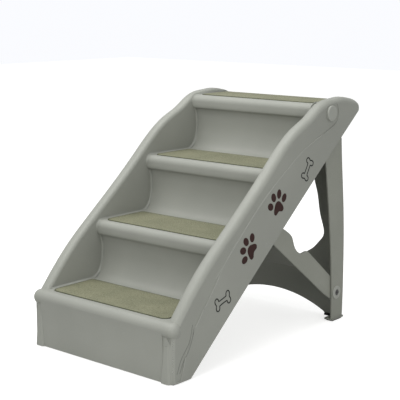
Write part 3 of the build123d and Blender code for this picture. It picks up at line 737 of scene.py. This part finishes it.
def reliefLines(side, part, finish, plan, tree):
    verts, edges = [], []
    for path in plan[part]:
        line = throughPoints(path, np.subtract(path[1], path[0]) / math.dist(path[1], path[0]),
                             np.subtract(path[-1], path[-2]) / math.dist(path[-1], path[-2]), plan["steps"])
        first = len(verts)
        verts += [onRail(side, y, z, plan) for y, z in line]
        edges += [(index, index + 1) for index in range(first, len(verts) - 1)]
    mesh = bpy.data.meshes.new(part + "_lines")
    mesh.from_pydata(verts, edges, [])
    obj = bpy.data.objects.new(part + "_lines_" + wayName(side), mesh)
    scene.collection.objects.link(obj)
    growShape(obj, tree, Radius=plan["radius"] / 1000, Sides=plan["sides"], Finish=finish)
    faceOutwards(obj)
    for poly in obj.data.polygons:
        poly.use_smooth = True
    return placeOn(obj, "stairs", "stair_plastic")


beadTree = beadAlongPath()
for side in (-1, 1):
    reliefLines(side, "long", longLineHighlightPlastic, reliefPlan, beadTree)
    reliefLines(side, "front", frontLineShadePlastic, reliefPlan, beadTree)
print("raised lines run along both rails")

padPlan = {
    "corner": 4.0, "cornerSteps": 6, "rib": 1.6, "pitch": 3.2, "ribHeight": 0.9, "ribShare": 0.8, "edge": 0.35,
    "endGap": 1.2,
    "pads": [{"node": "front_foot_pad", "body": "stairs", "x": (161.0, 193.0), "y": (3.0, 45.0), "top": 2.0},
             {"node": "rear_foot_pad", "body": "leg", "x": (172.5, 190.5), "y": (546.0, 585.0), "top": 3.0,
              "toe": {"x": (146.0, 181.5), "y": (579.0, 587.7), "high": 170.7, "top": 5.0}}],
}


def slabRings(xs, ys, corner, levels, steps, insets, start=0):
    middle, half = (xs[0] + xs[1]) / 2, (xs[1] - xs[0]) / 2
    verts = []
    for level, inset in zip(levels, insets):
        for x, y in roundedOutline(half - inset, ys[0] + inset, ys[1] - inset, corner, corner, steps):
            verts.append((middle + x, y, level))
    return verts, tubeFaces(len(levels), len(verts) // len(levels), start)


def footPad(pad, side, plan, tree):
    base = plan["ribHeight"] * plan["ribShare"]
    levels = (base, base + plan["edge"], pad["top"] - plan["edge"], pad["top"])
    insets = (plan["edge"], 0.0, 0.0, plan["edge"])
    verts, faces = slabRings(pad["x"], pad["y"], plan["corner"], levels, plan["cornerSteps"], insets)
    if "toe" in pad:
        toe = pad["toe"]
        for xs, top in ((toe["x"], pad["top"]), ((toe["x"][0], toe["high"]), toe["top"])):
            levels = (0.0, plan["edge"], top - plan["edge"], top)
            more, others = slabRings(xs, toe["y"], plan["edge"], levels, plan["cornerSteps"], insets, len(verts))
            faces += others
            verts += more
    obj = newObject(pad["node"] + "_piece_" + wayName(side), [sidePoint(side * x, y, z) for x, y, z in verts],
                    faces, smooth=False)
    long = pad["x"][1] - pad["x"][0] - 2 * plan["endGap"]
    span = pad["y"][1] - pad["y"][0] - 2 * plan["corner"]
    first = sidePoint(side * (pad["x"][0] + pad["x"][1]) / 2, pad["y"][0] + plan["corner"], plan["ribHeight"] / 2)
    growShape(obj, tree, Count=int(span / plan["pitch"]) + 1, First=first, Pitch=(0, plan["pitch"] / 1000, 0),
              Rib_Size=(long / 1000, plan["rib"] / 1000, plan["ribHeight"] / 1000), Finish=footRubber)
    faceOutwards(obj)
    return placeOn(obj, pad["body"], "foot_rubber", pad["node"] + "_" + wayName(side))


soleTree = ribbedSole()
for side in (-1, 1):
    for pad in padPlan["pads"]:
        footPad(pad, side, padPlan, soleTree)
print("ribbed foot pads put on")


# camera, light and floor

viewPlan = {"place": (1478.0, -1428.7, 717.7), "azimuth": 40.42, "pitch": 10.61, "roll": 0.14, "lens": 96.5,
            "sensor": 36.0}


def addCamera(plan):
    az, pitch, roll = (math.radians(plan[k]) for k in ("azimuth", "pitch", "roll"))
    forward = Vector((-math.sin(az) * math.cos(pitch), math.cos(az) * math.cos(pitch), -math.sin(pitch)))
    right = Vector((math.cos(az), math.sin(az), 0))
    up = right.cross(forward)
    rightRolled = right * math.cos(roll) + up * math.sin(roll)
    upRolled = up * math.cos(roll) - right * math.sin(roll)
    data = bpy.data.cameras.new("photoCamera")
    data.lens = plan["lens"]
    data.sensor_width = plan["sensor"]
    camera = bpy.data.objects.new("photoCamera", data)
    scene.collection.objects.link(camera)
    turn = Matrix((rightRolled, upRolled, -forward)).transposed().to_4x4()
    camera.matrix_world = Matrix.Translation(sidePoint(*plan["place"])) @ turn
    scene.camera = camera


lightPlan = {
    "sky": (0.96, 0.97, 1.0), "skyStrength": 0.62, "backdrop": 1.0,
    "areas": [{"name": "overhead", "place": (-0.3, -0.4, 2.1), "aim": (0, 0, 0.2), "size": 2.2, "power": 46.0},
              {"name": "frontFill", "place": (0.2, -2.6, 1.2), "aim": (0, 0, 0.25), "size": 2.0, "power": 20.0},
              {"name": "sideFill", "place": (2.4, -0.8, 0.6), "aim": (0, 0, 0.2), "size": 1.8, "power": 24.0}],
}
floorPlan = {"reach": 8.0, "colour": (0.46, 0.46, 0.45), "glow": (1.0, 1.0, 0.99), "lift": 0.72, "roughness": 0.85}


def addLights(plan):
    world = bpy.data.worlds.new("softRoom")
    world.use_nodes = True
    tree = world.node_tree
    back = tree.nodes["Background"]
    back.inputs["Color"].default_value = (*plan["sky"], 1.0)
    # the backdrop itself is white, while its light on the object is softer
    seen = tree.nodes.new("ShaderNodeLightPath")
    strength = tree.nodes.new("ShaderNodeMapRange")
    strength.inputs["To Min"].default_value = plan["skyStrength"]
    strength.inputs["To Max"].default_value = plan["backdrop"]
    tree.links.new(seen.outputs["Is Camera Ray"], strength.inputs["Value"])
    tree.links.new(strength.outputs["Result"], back.inputs["Strength"])
    scene.world = world
    for area in plan["areas"]:
        data = bpy.data.lights.new(area["name"], "AREA")
        data.shape = "DISK"
        data.size = area["size"]
        data.energy = area["power"]
        light = bpy.data.objects.new(area["name"], data)
        scene.collection.objects.link(light)
        way = Vector(area["aim"]) - Vector(area["place"])
        light.location = area["place"]
        light.rotation_euler = way.to_track_quat("-Z", "Y").to_euler()


def addFloor(plan):
    reach = plan["reach"]
    corners = [(-reach, -reach, 0), (reach, -reach, 0), (reach, reach, 0), (-reach, reach, 0)]
    floor = newObject("floor", corners, [(0, 1, 2, 3)], smooth=False)
    material, tree, shader = newMaterial("paleFloor")
    shader.inputs["Base Color"].default_value = (*plan["colour"], 1.0)
    shader.inputs["Roughness"].default_value = plan["roughness"]
    shader.inputs["Emission Color"].default_value = (*plan["glow"], 1.0)
    seen = tree.nodes.new("ShaderNodeLightPath")
    lift = mathNode(tree, "MULTIPLY", seen.outputs["Is Camera Ray"], plan["lift"])
    tree.links.new(lift, shader.inputs["Emission Strength"])
    dress(floor, material)


addCamera(viewPlan)
addLights(lightPlan)
addFloor(floorPlan)
scene.view_settings.view_transform = "Standard"
print("camera, light and floor set")
